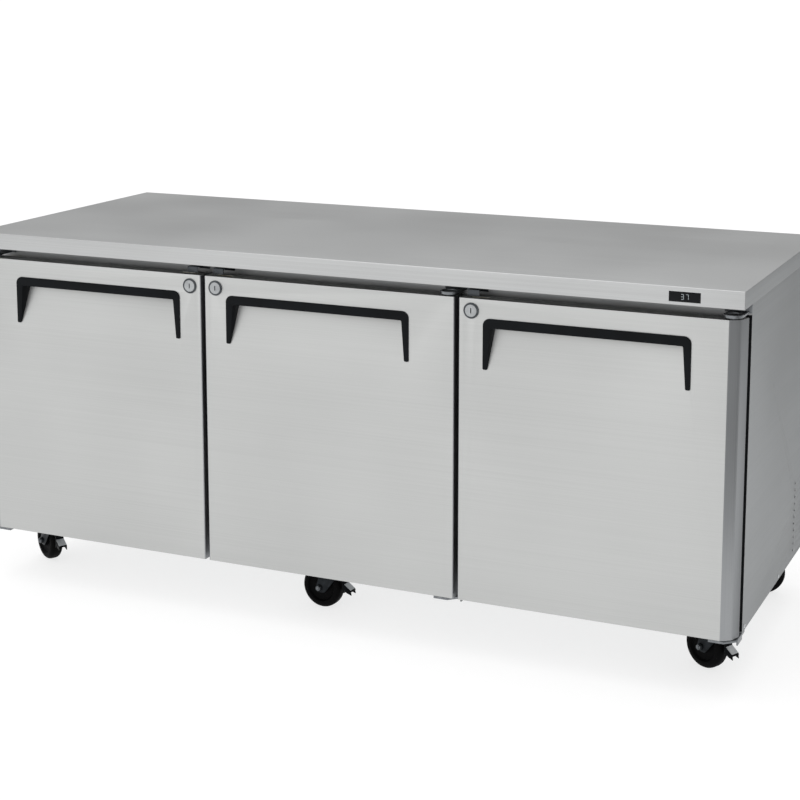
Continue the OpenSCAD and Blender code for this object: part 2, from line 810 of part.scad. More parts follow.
module caster_fork(k) {
    color(dark_steel) at_caster(k) difference() {
        union() {
            translate([0, 0, race_z - crown_t]) cylinder(r = 25.5, h = crown_t);
            for (s = [-1, 1])
                front_prism(leg, s * (leg_gap + leg_t / 2) - leg_t / 2, s * (leg_gap + leg_t / 2) + leg_t / 2);
            rod_y(caster_trail, wheel_r, axle_r, -leg_gap - leg_t - 4, leg_gap + leg_t + 4);
            for (s = [-1, 1])
                rod_y(caster_trail, wheel_r, 8, s * (leg_gap + leg_t + 2) - 2, s * (leg_gap + leg_t + 2) + 2);
        }
        translate([0, 0, race_z - crown_t - far]) cylinder(r = king_r + run_gap, h = crown_t + 2 * far);
        if (k < 3)
            rod_y(pedal_pivot.x, pedal_pivot.y, pedal_pin_r + run_gap, -leg_gap - 2 * leg_t, leg_gap + 2 * leg_t);
    }
}

module caster_wheel(k) {
    hub_w = 2 * leg_gap - 1;
    shoulder = 11;
    half = wheel_w / 2;
    tread = rounded(
        [[axle_r + run_gap, -hub_w / 2], [14, -hub_w / 2], [16, -half + 5], [wheel_r - 19, -half + 5],
         [wheel_r - 15, -half], [wheel_r, -half], [wheel_r, half], [wheel_r - 15, half],
         [wheel_r - 19, half - 5], [16, half - 5], [14, hub_w / 2], [axle_r + run_gap, hub_w / 2]],
        [0, 1, 1, 1, 1, shoulder, shoulder, 1, 1, 1, 1, 0]
    );
    color(black) at_caster(k) translate([caster_trail, 0, wheel_r]) rotate([90, 0, 0])
        rotate_extrude() polygon(tread);
}

pedal_pivot = [-15, race_z - 20];
pedal_pin_r = 2.5;

// Foot pedal on the leading side of a front caster: an arm down to a shoe that stands off the tyre, and a
// tread plate with side flanges
module brake_pedal(k) {
    w = leg_gap - 8;
    flange_t = 2;
    arm = [[2, 4.5], [-5, 4.5], [-10, -33], [-27, -45], [-29, -49], [-10, -38], [-10, -54], [-6, -54], [-6, -37],
           [2, -4.5]];
    flange = [[-10, -33], [-27, -45], [-29, -57], [-16, -53], [-10, -46]];
    color(dark_steel) at_caster(k) translate([pedal_pivot.x, 0, pedal_pivot.y]) union() {
        front_prism(arm, -w, w);
        for (s = [-1, 1])
            front_prism(flange, s * (w - flange_t / 2) - flange_t / 2, s * (w - flange_t / 2) + flange_t / 2);
        rod_y(0, 0, pedal_pin_r, -leg_gap - leg_t - 1, leg_gap + leg_t + 1);
    }
}

worktop();
left_side_panel();
right_side_panel();
back_panel();
base_pan();
front_frame();
cabinet_foam();
inner_liner();
hinge_brackets();
lock_strikes();
caster_plates();
compressor();
condenser_coil();
condenser_shroud();
condenser_fan();
evaporator_coil();
evaporator_cover();
evaporator_fan();
temperature_display();
shelf_standards();
shelf_clips();
for (i = [0:2]) {
    shelf(i);
    door_skin(i);
    door_foam(i);
    door_liner(i);
    door_gasket(i);
    door_handle(i);
    lock_barrel(i);
    lock_plug(i);
}
for (k = [0:5]) {
    caster_fork(k);
    caster_wheel(k);
}
for (k = [0:2])
    brake_pedal(k);
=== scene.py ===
import json
import math
import bpy
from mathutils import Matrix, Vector

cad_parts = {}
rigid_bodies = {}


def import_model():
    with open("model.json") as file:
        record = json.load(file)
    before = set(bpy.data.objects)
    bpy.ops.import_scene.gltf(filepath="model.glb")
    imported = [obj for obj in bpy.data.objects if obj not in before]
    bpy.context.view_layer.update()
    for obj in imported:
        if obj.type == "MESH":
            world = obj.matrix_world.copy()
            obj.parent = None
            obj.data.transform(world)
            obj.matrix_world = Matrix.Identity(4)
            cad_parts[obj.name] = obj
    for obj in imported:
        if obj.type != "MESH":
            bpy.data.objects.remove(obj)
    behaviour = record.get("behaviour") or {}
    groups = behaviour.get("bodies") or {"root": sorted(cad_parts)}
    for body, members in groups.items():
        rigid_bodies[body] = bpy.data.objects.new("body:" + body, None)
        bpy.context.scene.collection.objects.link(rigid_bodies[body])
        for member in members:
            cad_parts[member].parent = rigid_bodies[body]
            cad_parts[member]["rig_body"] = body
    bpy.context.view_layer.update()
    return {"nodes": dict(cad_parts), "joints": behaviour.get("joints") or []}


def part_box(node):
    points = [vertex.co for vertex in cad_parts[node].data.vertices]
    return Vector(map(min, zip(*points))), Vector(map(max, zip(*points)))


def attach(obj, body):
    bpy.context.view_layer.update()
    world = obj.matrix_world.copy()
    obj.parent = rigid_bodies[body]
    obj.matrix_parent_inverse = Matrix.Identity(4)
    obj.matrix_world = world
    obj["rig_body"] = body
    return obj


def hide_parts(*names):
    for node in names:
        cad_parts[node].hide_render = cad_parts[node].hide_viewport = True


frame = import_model()
scene = bpy.context.scene
mm = 0.001

doorNames = ["left", "centre", "right"]
casterNames = ["front_left", "front_centre", "front_right", "rear_left", "rear_centre", "rear_right"]


def only(piece):
    bpy.ops.object.select_all(action="DESELECT")
    piece.select_set(True)
    bpy.context.view_layer.objects.active = piece


def camelName(node):
    words = node.split("_")
    return words[0] + "".join(word.title() for word in words[1:])


def bodyOf(node):
    return frame["nodes"][node]["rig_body"]


# Material helpers

def linear(code):
    channels = [int(code[k:k + 2], 16) / 255 for k in (1, 3, 5)]
    return [c / 12.92 if c <= 0.04045 else ((c + 0.055) / 1.055) ** 2.4 for c in channels] + [1.0]


def addNode(tree, kind, settings, links=None):
    node = tree.nodes.new(kind)
    for key, value in settings.items():
        if isinstance(key, int) or key in node.inputs:
            node.inputs[key].default_value = value
        else:
            setattr(node, key, value)
    for key, source in (links or {}).items():
        tree.links.new(source, node.inputs[key])
    return node


def startMaterial(name, shaderSettings):
    material = bpy.data.materials.new(name)
    material.use_nodes = True
    tree = material.node_tree
    tree.nodes.clear()
    place = addNode(tree, "ShaderNodeTexCoord", {}).outputs["Object"]
    shader = addNode(tree, "ShaderNodeBsdfPrincipled", shaderSettings)
    addNode(tree, "ShaderNodeOutputMaterial", {}, {"Surface": shader.outputs[0]})
    return material, tree, place, shader


def noise(tree, place, size, detail, **more):
    # noise whose features are about this many millimetres across
    return addNode(tree, "ShaderNodeTexNoise", {"Scale": 1 / (size * mm), "Detail": detail, **more},
                   {"Vector": place}).outputs[0]


def spread(tree, value, low, high):
    # takes the middle of a pattern's values to the range asked for
    return addNode(tree, "ShaderNodeMapRange", {1: 0.3, 2: 0.7, 3: low, 4: high}, {0: value}).outputs[0]


def twoTone(tree, value, dark, light):
    tones = {"data_type": "RGBA", 6: linear(dark), 7: linear(light)}
    return addNode(tree, "ShaderNodeMix", tones, {0: value}).outputs[2]


def connect(tree, shader, links):
    for key, source in links.items():
        tree.links.new(source, shader.inputs[key])


# Brushed stainless steel, satin belt finish: fine streaks along the grain, and broad soft patches
# where the sheet has been wiped. The real grit is about 0.1 mm; streaks are drawn 2.5 mm wide to show.
def brushedSteel(look):
    metal = {"Metallic": 1.0, "Specular Tint": look["edge"]}
    material, tree, place, shader = startMaterial(look["name"], metal)
    along, across = 1 / (900 * mm), 1 / (look["streak"] * mm)
    grain = [along if axis == look["grain"] else across for axis in "xyz"]
    stretched = addNode(tree, "ShaderNodeMapping", {"Scale": grain}, {"Vector": place}).outputs[0]
    streaks = addNode(tree, "ShaderNodeTexNoise", {"Scale": 1.0, "Detail": 5.0, "Roughness": 0.62},
                      {"Vector": stretched}).outputs[0]
    patches = noise(tree, place, 420, 2.0)
    streaked = twoTone(tree, spread(tree, streaks, 0, 1), look["dark"], look["light"])
    faded = twoTone(tree, spread(tree, patches, 0, 1), "#F6F6F6", "#FFFFFF")
    wiped = addNode(tree, "ShaderNodeMix", {"data_type": "RGBA", "blend_type": "MULTIPLY", 0: 1.0},
                    {6: streaked, 7: faded}).outputs[2]
    low, high = look["gloss"]
    rubbed = addNode(tree, "ShaderNodeMath", {"operation": "ADD"},
                     {0: spread(tree, streaks, low, high), 1: spread(tree, patches, 0, 0.05)}).outputs[0]
    relief = addNode(tree, "ShaderNodeBump", {"Strength": 0.12, "Distance": 0.1 * mm}, {"Height": streaks})
    connect(tree, shader, {"Base Color": wiped, "Roughness": rubbed, "Normal": relief.outputs[0]})
    return material


steelLooks = {
    "top": {"name": "brushedStainlessTop", "grain": "x", "streak": 2.5, "dark": "#BBBCBC",
            "light": "#C7C8C8", "gloss": (0.34, 0.44), "edge": linear("#C4C4C4")},
    "door": {"name": "brushedStainlessDoor", "grain": "x", "streak": 2.5, "dark": "#C0C1C0",
             "light": "#C8C9C8", "gloss": (0.36, 0.46), "edge": linear("#DDDDDD")},
    # side: a darker copy of the same stainless, painted shade for the side panels and the worktop ends
    "side": {"name": "brushedStainlessShadedSide", "grain": "y", "streak": 3.0, "dark": "#AFB1B2",
             "light": "#B9BBBC", "gloss": (0.40, 0.50), "edge": linear("#A0A0A0")},
    # edge: a darker copy of the door steel for the door bevels and ends, painted shade
    "edge": {"name": "brushedStainlessShadedEdge", "grain": "z", "streak": 2.0, "dark": "#9A9C9E",
             "light": "#A4A6A8", "gloss": (0.36, 0.46), "edge": linear("#A0A0A0")},
    "frame": {"name": "brushedStainlessFrame", "grain": "x", "streak": 2.5, "dark": "#A6A7A8",
              "light": "#B4B5B6", "gloss": (0.36, 0.46), "edge": linear("#C0C0C0")},
}


# Hot-dip galvanised sheet: spangles of zinc crystal about 12 mm across, each its own grey and gloss
def galvanisedSheet():
    material, tree, place, shader = startMaterial("galvanisedSheet", {"Metallic": 1.0})
    crystals = addNode(tree, "ShaderNodeTexVoronoi", {"Scale": 1 / (12 * mm), "Randomness": 1.0},
                       {"Vector": place})
    grey = addNode(tree, "ShaderNodeSeparateColor", {}, {0: crystals.outputs["Color"]}).outputs[0]
    stain = noise(tree, place, 90, 4.0)
    blended = addNode(tree, "ShaderNodeMath", {"operation": "ADD"},
                      {0: spread(tree, grey, 0, 0.5), 1: spread(tree, stain, 0, 0.5)}).outputs[0]
    relief = addNode(tree, "ShaderNodeBump", {"Strength": 0.1, "Distance": 0.05 * mm}, {"Height": grey})
    connect(tree, shader, {"Base Color": twoTone(tree, blended, "#9A9C9D", "#C3C6C7"),
                           "Roughness": spread(tree, grey, 0.34, 0.52), "Normal": relief.outputs[0]})
    return material


# Zinc-plated pressed steel: bluish, with cloudy passivation and dirt that dulls it
def zincPlate(name, dark, light, gloss):
    material, tree, place, shader = startMaterial(name, {"Metallic": 1.0})
    clouds = noise(tree, place, 14, 5.0, Roughness=0.6)
    pits = noise(tree, place, 0.9, 2.0)
    relief = addNode(tree, "ShaderNodeBump", {"Strength": 0.25, "Distance": 0.06 * mm}, {"Height": pits})
    connect(tree, shader, {"Base Color": twoTone(tree, spread(tree, clouds, 0, 1), dark, light),
                           "Roughness": spread(tree, clouds, gloss, gloss + 0.16),
                           "Normal": relief.outputs[0]})
    return material


# Moulded plastic or rubber: a fine moulded grain, slightly worn where handled
def mouldedPlastic(name, dark, light, grainSize, gloss, depth, sockets=None):
    material, tree, place, shader = startMaterial(name, {"Metallic": 0.0, **(sockets or {})})
    wear = noise(tree, place, 60, 4.0)
    grain = addNode(tree, "ShaderNodeTexVoronoi", {"Scale": 1 / (grainSize * mm), "feature": "SMOOTH_F1"},
                    {"Vector": place}).outputs["Distance"]
    relief = addNode(tree, "ShaderNodeBump", {"Strength": depth, "Distance": 0.1 * mm}, {"Height": grain})
    connect(tree, shader, {"Base Color": twoTone(tree, spread(tree, wear, 0, 1), dark, light),
                           "Roughness": spread(tree, wear, gloss, gloss + 0.12),
                           "Normal": relief.outputs[0]})
    return material


# Rolled aluminium: pale and fairly bright, with faint mill lines along the sheet
def milledAluminium():
    material, tree, place, shader = startMaterial("milledAluminium", {"Metallic": 1.0})
    stretched = addNode(tree, "ShaderNodeMapping", {"Scale": [1 / (300 * mm), 1 / (4 * mm), 1 / (4 * mm)]},
                        {"Vector": place}).outputs[0]
    lines = addNode(tree, "ShaderNodeTexNoise", {"Scale": 1.0, "Detail": 4.0},
                    {"Vector": stretched}).outputs[0]
    relief = addNode(tree, "ShaderNodeBump", {"Strength": 0.1, "Distance": 0.08 * mm}, {"Height": lines})
    connect(tree, shader, {"Base Color": twoTone(tree, spread(tree, lines, 0, 1), "#CFD1D3", "#DEE0E2"),
                           "Roughness": spread(tree, lines, 0.30, 0.42), "Normal": relief.outputs[0]})
    return material


# Drawn copper tube, dulled to brown where it has been brazed and handled
def drawnCopper():
    material, tree, place, shader = startMaterial("drawnCopper", {"Metallic": 1.0})
    tarnish = noise(tree, place, 25, 5.0)
    connect(tree, shader, {"Base Color": twoTone(tree, spread(tree, tarnish, 0, 1), "#9A5A3C", "#D98E68"),
                           "Roughness": spread(tree, tarnish, 0.28, 0.5)})
    return material


# Rigid polyurethane foam: a skin of closed cells about 1.5 mm across
def rigidFoam():
    material, tree, place, shader = startMaterial("rigidFoam", {"Metallic": 0.0, "Roughness": 0.9})
    cells = addNode(tree, "ShaderNodeTexVoronoi", {"Scale": 1 / (1.5 * mm)},
                    {"Vector": place}).outputs["Distance"]
    aged = noise(tree, place, 70, 3.0)
    relief = addNode(tree, "ShaderNodeBump", {"Strength": 0.5, "Distance": 0.4 * mm}, {"Height": cells})
    connect(tree, shader, {"Base Color": twoTone(tree, spread(tree, aged, 0, 1), "#D9C48C", "#EBDDB2"),
                           "Normal": relief.outputs[0]})
    return material


# Lit display segments behind the dark lens: cool white light that is a little uneven along the bars
def litSegments():
    glow = {"Metallic": 0.0, "Roughness": 0.4, "Emission Strength": 0.3}
    material, tree, place, shader = startMaterial("litSegments", glow)
    uneven = noise(tree, place, 3, 1.0)
    shade = twoTone(tree, spread(tree, uneven, 0, 1), "#8C9396", "#B2B9BC")
    connect(tree, shader, {"Base Color": shade, "Emission Color": shade})
    return material


materials = {
    **{key: brushedSteel(look) for key, look in steelLooks.items()},
    "galvanised": galvanisedSheet(),
    "bracket": zincPlate("brightZinc", "#A9ADB0", "#D4D7D8", 0.24),
    "caster": zincPlate("dullZinc", "#1E2022", "#303336", 0.36),
    # the pedal's dark material here and its bright one below are painted shade and a painted highlight on
    # the one pedal
    "oxide": zincPlate("paintedPedalShade", "#0A0B0C", "#17191B", 0.4),
    "bolt": zincPlate("boltZinc", "#5A5D60", "#808386", 0.3),
    "tread": zincPlate("paintedPedalHighlight", "#BFC1C3", "#DDDFE0", 0.45),
    "ring": zincPlate("darkChrome", "#3E4144", "#5A5D60", 0.34),
    "hinge": zincPlate("hingeZinc", "#6C6F72", "#8E9194", 0.32),
    "lock": zincPlate("satinChrome", "#9B9D9F", "#B6B9BA", 0.36),
    "abs": mouldedPlastic("blackAbs", "#090B0D", "#101316", 1.2, 0.5, 0.25, {"Specular IOR Level": 0.10}),
    "liner": mouldedPlastic("blackAbsSheet", "#222426", "#2B2D30", 2.0, 0.34, 0.12),
    "gasket": mouldedPlastic("softVinyl", "#26282A", "#33363A", 1.6, 0.52, 0.15),
    "rubber": mouldedPlastic("tyreRubber", "#020202", "#060607", 1.4, 0.6, 0.35,
                             {"Specular IOR Level": 0.06}),
    "enamel": mouldedPlastic("blackEnamel", "#101113", "#191B1D", 5.0, 0.22, 0.1,
                             {"Coat Weight": 0.5, "Coat Roughness": 0.15}),
    "epoxy": mouldedPlastic("epoxyCoating", "#E4E6E2", "#F2F3F0", 3.0, 0.32, 0.1, {"Coat Weight": 0.3}),
    "lens": mouldedPlastic("smokedAcrylic", "#050709", "#0A0C0F", 30.0, 0.14, 0.02,
                           {"Specular IOR Level": 0.16}),
    "brass": zincPlate("nickelledBrass", "#8E8878", "#B5AE9A", 0.28),
    "alloy": milledAluminium(),
    "copper": drawnCopper(),
    "foam": rigidFoam(),
    "lit": litSegments(),
}
print("materials made:", len(materials))


def settle(piece, body, materialKey, nodes=()):
    piece.data.materials.clear()
    piece.data.materials.append(materials[materialKey])
    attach(piece, body)
    if nodes:
        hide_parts(*nodes)
    return piece


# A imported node's mesh, merged and with its flat faces whole again, so that edges can be rounded
copyLook = {"mergeGap": 0.003, "flatAngle": 0.4}


def cadCopy(node, pieceName):
    piece = bpy.data.objects.new(pieceName, frame["nodes"][node].data.copy())
    scene.collection.objects.link(piece)
    only(piece)
    piece.data.materials.clear()
    bpy.ops.mesh.customdata_custom_splitnormals_clear()
    bpy.ops.object.mode_set(mode="EDIT")
    bpy.ops.mesh.select_all(action="SELECT")
    bpy.ops.mesh.remove_doubles(threshold=copyLook["mergeGap"] * mm)
    bpy.ops.mesh.dissolve_limited(angle_limit=math.radians(copyLook["flatAngle"]))
    bpy.ops.object.mode_set(mode="OBJECT")
    return piece


def pickEdges(piece, test):
    # selects the edges whose two ends both pass the test
    only(piece)
    bpy.ops.object.mode_set(mode="EDIT")
    bpy.ops.mesh.select_mode(type="EDGE")
    bpy.ops.mesh.select_all(action="DESELECT")
    bpy.ops.object.mode_set(mode="OBJECT")
    points = piece.data.vertices
    for edge in piece.data.edges:
        edge.select = test(points[edge.vertices[0]].co, points[edge.vertices[1]].co)
    bpy.ops.object.mode_set(mode="EDIT")


def roundPicked(width, segments):
    bpy.ops.mesh.bevel(offset=width * mm, segments=segments, affect="EDGES", clamp_overlap=True)
    bpy.ops.object.mode_set(mode="OBJECT")


def roundAll(piece, width, segments=2, angle=40):
    only(piece)
    edge = piece.modifiers.new("edge", "BEVEL")
    edge.width = width * mm
    edge.segments = segments
    edge.limit_method = "ANGLE"
    edge.angle_limit = math.radians(angle)
    bpy.ops.object.modifier_apply(modifier="edge")


def smooth(piece, angle=38):
    only(piece)
    bpy.ops.object.shade_smooth_by_angle(angle=math.radians(angle))


def refine(node, materialKey, width=0.4, segments=2, angle=40):
    piece = cadCopy(node, camelName(node))
    if width:
        roundAll(piece, width, segments, angle)
    smooth(piece)
    return settle(piece, bodyOf(node), materialKey, [node])


# Worktop: only the outer folds of the sheet are rounded, its raw hem edges stay as cut
worktopLook = {"foldRadius": 2.2, "foldSteps": 4, "endTilt": 0.7, "shellGap": 0.05}


def buildWorktop():
    low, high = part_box("worktop")
    piece = cadCopy("worktop", "worktop")

    def onShell(p):
        sides = (abs(p.x - low.x), abs(p.x - high.x), abs(p.y - low.y), abs(p.y - high.y), abs(p.z - high.z))
        return sum(gap < worktopLook["shellGap"] * mm for gap in sides) >= 2

    pickEdges(piece, lambda a, b: onShell(a) and onShell(b))
    roundPicked(worktopLook["foldRadius"], worktopLook["foldSteps"])
    smooth(piece)
    settle(piece, "cabinet", "top", ["worktop"])
    # the turned-down ends take the side steel: its grain runs from front to back, and its darker tone is
    # painted shade
    piece.data.materials.append(materials["side"])
    for face in piece.data.polygons:
        if abs(face.normal.x) > worktopLook["endTilt"]:
            face.material_index = 1


# Display: two seven-segment digits whose lit bars stand in the lens
displayLook = {"digits": "37", "height": 11.0, "width": 6.0, "stroke": 0.95, "pitch": 10.0, "depth": 0.3,
               "sink": 0.35, "barGap": 0.5, "barEdge": 0.25, "lensEdge": 0.25}
segmentsOf = {"3": "abcdg", "7": "abc"}


def buildDisplay():
    look = displayLook
    refine("temperature_display", "lens", look["lensEdge"])
    low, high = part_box("temperature_display")
    middle = Vector(((low.x + high.x) / 2, low.y + look["sink"] * mm, (low.z + high.z) / 2))
    halfW = (look["width"] - look["stroke"]) / 2
    halfH = (look["height"] - look["stroke"]) / 2
    # place of each bar in its digit, and whether it lies level
    bars = {"a": (0, halfH, True), "g": (0, 0, True), "d": (0, -halfH, True),
            "b": (halfW, halfH / 2, False), "c": (halfW, -halfH / 2, False)}
    made = []
    for index, digit in enumerate(look["digits"]):
        for key in segmentsOf[digit]:
            dx, dz, level = bars[key]
            length = (halfW * 2 if level else halfH) - look["barGap"]
            wide, tall = (length, look["stroke"]) if level else (look["stroke"], length)
            spot = middle + Vector((dx + (index - 0.5) * look["pitch"], 0, dz)) * mm
            bpy.ops.mesh.primitive_cube_add(size=1, location=spot,
                                            scale=(wide * mm, look["depth"] * mm, tall * mm))
            bpy.ops.object.transform_apply(location=True, rotation=True, scale=True)
            roundAll(bpy.context.object, look["barEdge"], 1)
            made.append(bpy.context.object)
    joinPieces(made, "displayDigits")
    settle(made[0], "cabinet", "lit")


def joinPieces(made, name):
    bpy.ops.object.select_all(action="DESELECT")
    for piece in made:
        piece.select_set(True)
    bpy.context.view_layer.objects.active = made[0]
    bpy.ops.object.join()
    made[0].name = name
    made[0].data.name = name
    return made[0]


# Pan-head screw with a cross recess, made once with its head towards +Z
screwLook = {"radius": 4.0, "height": 2.4, "cross": 4.6, "slot": 0.9, "crossDepth": 1.2,
             "sides": 20, "crown": 1.1, "crownSteps": 3}
# how far below a top face, in mm, an edge still counts as part of it
topBand = 0.01


def makeScrew():
    look = screwLook
    bpy.ops.mesh.primitive_cylinder_add(vertices=look["sides"], radius=look["radius"] * mm,
                                        depth=look["height"] * mm, location=(0, 0, look["height"] / 2 * mm))
    head = bpy.context.object
    bpy.ops.object.transform_apply(location=True, rotation=True, scale=True)
    pickEdges(head, lambda a, b: min(a.z, b.z) > (look["height"] - topBand) * mm)
    roundPicked(look["crown"], look["crownSteps"])
    slotSize = (look["cross"] * mm, look["slot"] * mm, look["crossDepth"] * 2 * mm)
    for turn in (0, 90):
        bpy.ops.mesh.primitive_cube_add(size=1, location=(0, 0, look["height"] * mm), scale=slotSize)
        cutter = bpy.context.object
        if turn:
            cutter.rotation_euler.z = math.radians(turn)
        cut = head.modifiers.new("cut", "BOOLEAN")
        cut.object = cutter
        cut.solver = "EXACT"
        only(head)
        bpy.ops.object.modifier_apply(modifier="cut")
        bpy.data.objects.remove(cutter)
    return head


def placeCopies(source, spots, name, body, materialKey):
    # one copy of the source for each (place, turn about X, turn about Z), joined into one piece
    made = []
    for place, tilt, turn in spots:
        copy = source.copy()
        copy.data = source.data.copy()
        scene.collection.objects.link(copy)
        copy.rotation_euler = (math.radians(tilt), 0, math.radians(turn))
        copy.location = place
        only(copy)
        bpy.ops.object.transform_apply(location=True, rotation=True, scale=True)
        made.append(copy)
    piece = joinPieces(made, name)
    smooth(piece)
    return settle(piece, body, materialKey)


# Screws round the rear sheet and along the foot of each side panel
screwPlaces = {"rearInset": 14.0, "rearColumns": 7, "rearRows": 3, "sideInset": 16.0, "footHeight": 10.0}


def buildScrews():
    screw = makeScrew()
    look = screwPlaces
    low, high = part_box("back_panel")
    inset = look["rearInset"] * mm
    columns = [low.x + inset + (high.x - low.x - 2 * inset) * k / (look["rearColumns"] - 1)
               for k in range(look["rearColumns"])]
    rows = [low.z + inset + (high.z - low.z - 2 * inset) * k / (look["rearRows"] + 1)
            for k in range(look["rearRows"] + 2)]
    spots = [(x, high.y, z) for x in columns for z in (rows[0], rows[-1])]
    spots += [(x, high.y, z) for x in (columns[0], columns[-1]) for z in rows[1:-1]]
    placeCopies(screw, [(spot, -90, 0) for spot in spots], "rearScrews", "cabinet",
                "bracket")
    low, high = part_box("right_side_panel")
    foot = low.z + look["footHeight"] * mm
    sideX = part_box("left_side_panel")[0].x
    ys = [low.y + look["sideInset"] * mm, (low.y + high.y) / 2, high.y - look["sideInset"] * mm]
    for name, x, turn in (("rightSideScrews", -sideX, 90), ("leftSideScrews", sideX, -90)):
        placeCopies(screw, [((x, y, foot), 90, turn) for y in ys], name, "cabinet",
                    "bracket")
    bpy.data.objects.remove(screw)


# Pieces of the cabinet and the two fans: material, slot and edge radius
panelLooks = {
    "left_side_panel": ("side", "stainless_side", 0.5),
    "right_side_panel": ("side", "stainless_side", 0.4),
    "back_panel": ("galvanised", "galvanised", 0.4),
    "base_pan": ("galvanised", "galvanised", 0.4),
    "front_frame": ("frame", "stainless_side", 0.4),
    "inner_liner": ("alloy", "liner_alloy", 0.4),
    "hinge_brackets": ("hinge", "bracket_steel", 0.5),
    "lock_strikes": ("ring", "bracket_steel", 0.4),
    "caster_plates": ("caster", "caster_zinc", 0.5),
    "compressor": ("enamel", "compressor_enamel", 0.6),
    "condenser_shroud": ("galvanised", "galvanised", 0.4),
    "condenser_fan": ("alloy", "fan_alloy", 0.3),
    "evaporator_cover": ("alloy", "liner_alloy", 0.4),
    "evaporator_fan": ("alloy", "fan_alloy", 0.3),
    "shelf_standards": ("bracket", "bracket_steel", 0),
    "shelf_clips": ("bracket", "bracket_steel", 0.4),
}

# Pieces that every door has: material, slot and edge radius
doorLooks = {
    "skin": ("door", "stainless_door", 0.8),
    "liner": ("liner", "abs_black", 1.5),
    "gasket": ("gasket", "gasket_vinyl", 1.6),
    "handle": ("abs", "abs_black", 0.7),
    "lock_barrel": ("ring", "lock_ring", 0.4),
    "lock_plug": ("lock", "lock_face", 0.4),
}

# The bevel and ends of a door take a darker copy of its steel with upright grain: painted shade, as they get
# less light than its face
doorEdge = {"tilt": 0.4}


def shadeDoorEdges(name):
    skin = bpy.data.objects[name]
    skin.data.materials.append(materials["edge"])
    for face in skin.data.polygons:
        if abs(face.normal.x) > doorEdge["tilt"]:
            face.material_index = 1


buildWorktop()
buildDisplay()
for node, (materialKey, slotName, width) in panelLooks.items():
    refine(node, materialKey, width)
print("cabinet panels done")
for door in doorNames:
    for part, (materialKey, slotName, width) in doorLooks.items():
        refine(f"{door}_door_{part}", materialKey, width)
    shadeDoorEdges(camelName(door + "_door_skin"))
    refine(f"{door}_shelf", "epoxy", 0)
print("doors and shelves done")
buildScrews()

# Black strips along the body's two outer front edges, behind the outer edges of the end doors: painted shade
# for the deep gap there
gapShadeLook = {"width": 14.0, "thickness": 1.5, "edge": 0.6, "inset": 0.3}


def buildGapShadeStrips():
    look = gapShadeLook
    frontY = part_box("right_side_panel")[0].y
    doorLow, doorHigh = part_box("right_door_skin")
    # each black strip is painted shade for the deep gap behind the end door's outer edge
    for side, name in ((-1, "leftGapShadeStrip"), (1, "rightGapShadeStrip")):
        x = side * (doorHigh.x - (look["inset"] + look["width"] / 2) * mm)
        spot = (x, frontY - look["thickness"] / 2 * mm, (doorLow.z + doorHigh.z) / 2)
        size = (look["width"] * mm, look["thickness"] * mm, doorHigh.z - doorLow.z)
        bpy.ops.mesh.primitive_cube_add(size=1, location=spot, scale=size)
        bpy.ops.object.transform_apply(location=True, rotation=True, scale=True)
        shadeStrip = bpy.context.object
        shadeStrip.name = name
        shadeStrip.data.name = name
        roundAll(shadeStrip, look["edge"], 2)
        smooth(shadeStrip)
        settle(shadeStrip, "cabinet", "abs")


# Guard over the evaporator fan: welded wire rings on four spokes, whose feet are screwed to the cover
guardLook = {"wire": 1.5, "rings": (16, 30, 44, 58, 72, 84), "spokes": 4, "firstSpoke": 45, "reach": 88.0,
             "standOff": 2.6, "spokeEdge": 0.6}


def buildFanGuard():
    look = guardLook
    low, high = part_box("evaporator_fan")
    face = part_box("evaporator_cover")[0].y
    centre = Vector(((low.x + high.x) / 2, face - look["standOff"] * mm, (low.z + high.z) / 2))
    made = []
    for radius in look["rings"]:
        bpy.ops.mesh.primitive_torus_add(major_radius=radius * mm, minor_radius=look["wire"] * mm,
                                         major_segments=64, minor_segments=8, location=centre,
                                         rotation=(math.radians(90), 0, 0))
        made.append(bpy.context.object)
    back = Vector((0, look["wire"] * mm, 0))
    for k in range(look["spokes"]):
        angle = math.radians(look["firstSpoke"] + 360 // look["spokes"] * k)
        out = Vector((math.cos(angle), 0, math.sin(angle)))
        bpy.ops.mesh.primitive_cylinder_add(vertices=10, radius=look["wire"] * mm, depth=look["reach"] * mm,
                                            location=centre + out * look["reach"] / 2 * mm - back)
        spoke = bpy.context.object
        spoke.rotation_euler = out.to_track_quat("Z", "Y").to_euler()
        roundAll(spoke, look["spokeEdge"])
        made.append(spoke)
    for piece in made:
        only(piece)
        bpy.ops.object.transform_apply(location=True, rotation=True, scale=True)
    guard = joinPieces(made, "evaporatorFanGuard")
    smooth(guard)
    settle(guard, "cabinet", "bracket")


# Lock nut of the supply lead's gland, outside the rear sheet
glandLook = {"nutFlats": 24.0, "nutHeight": 3.0, "nutChamfer": 0.9, "bore": 5.0, "place": (620.0, 330.0)}


def buildGlandNut():
    nut = makeNut(glandLook, glandLook["bore"])
    x, z = glandLook["place"]
    spot = Vector((x * mm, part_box("back_panel")[1].y, z * mm))
    placeCopies(nut, [(spot, -90, 0)], "glandNut", "cabinet", "brass")
    bpy.data.objects.remove(nut)


# Casters. Each pedal is painted in light and shade: its upward faces bright, a painted highlight from above,
# and the rest dark, painted shade on its flanges; each axle ends in a hex nut.
casterLook = {"forkEdge": 0.5, "pedalEdge": 0.8, "highlightDrop": 36.0, "highlightTilt": 0.45, "nutFlats": 11.0,
              "nutHeight": 4.5, "nutChamfer": 1.1, "studRadius": 3.6, "studLength": 1.6, "studEdge": 0.5,
              "axleReach": 25.0}


def buildPedal(caster):
    node = f"{caster}_brake_pedal"
    piece = refine(node, "oxide", casterLook["pedalEdge"])
    piece.data.materials.append(materials["tread"])
    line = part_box(node)[1].z - casterLook["highlightDrop"] * mm
    # upward faces below the line get the painted highlight; the rest of the pedal keeps the painted shade
    for face in piece.data.polygons:
        if face.normal.z > casterLook["highlightTilt"] and face.center.z < line:
            face.material_index = 1


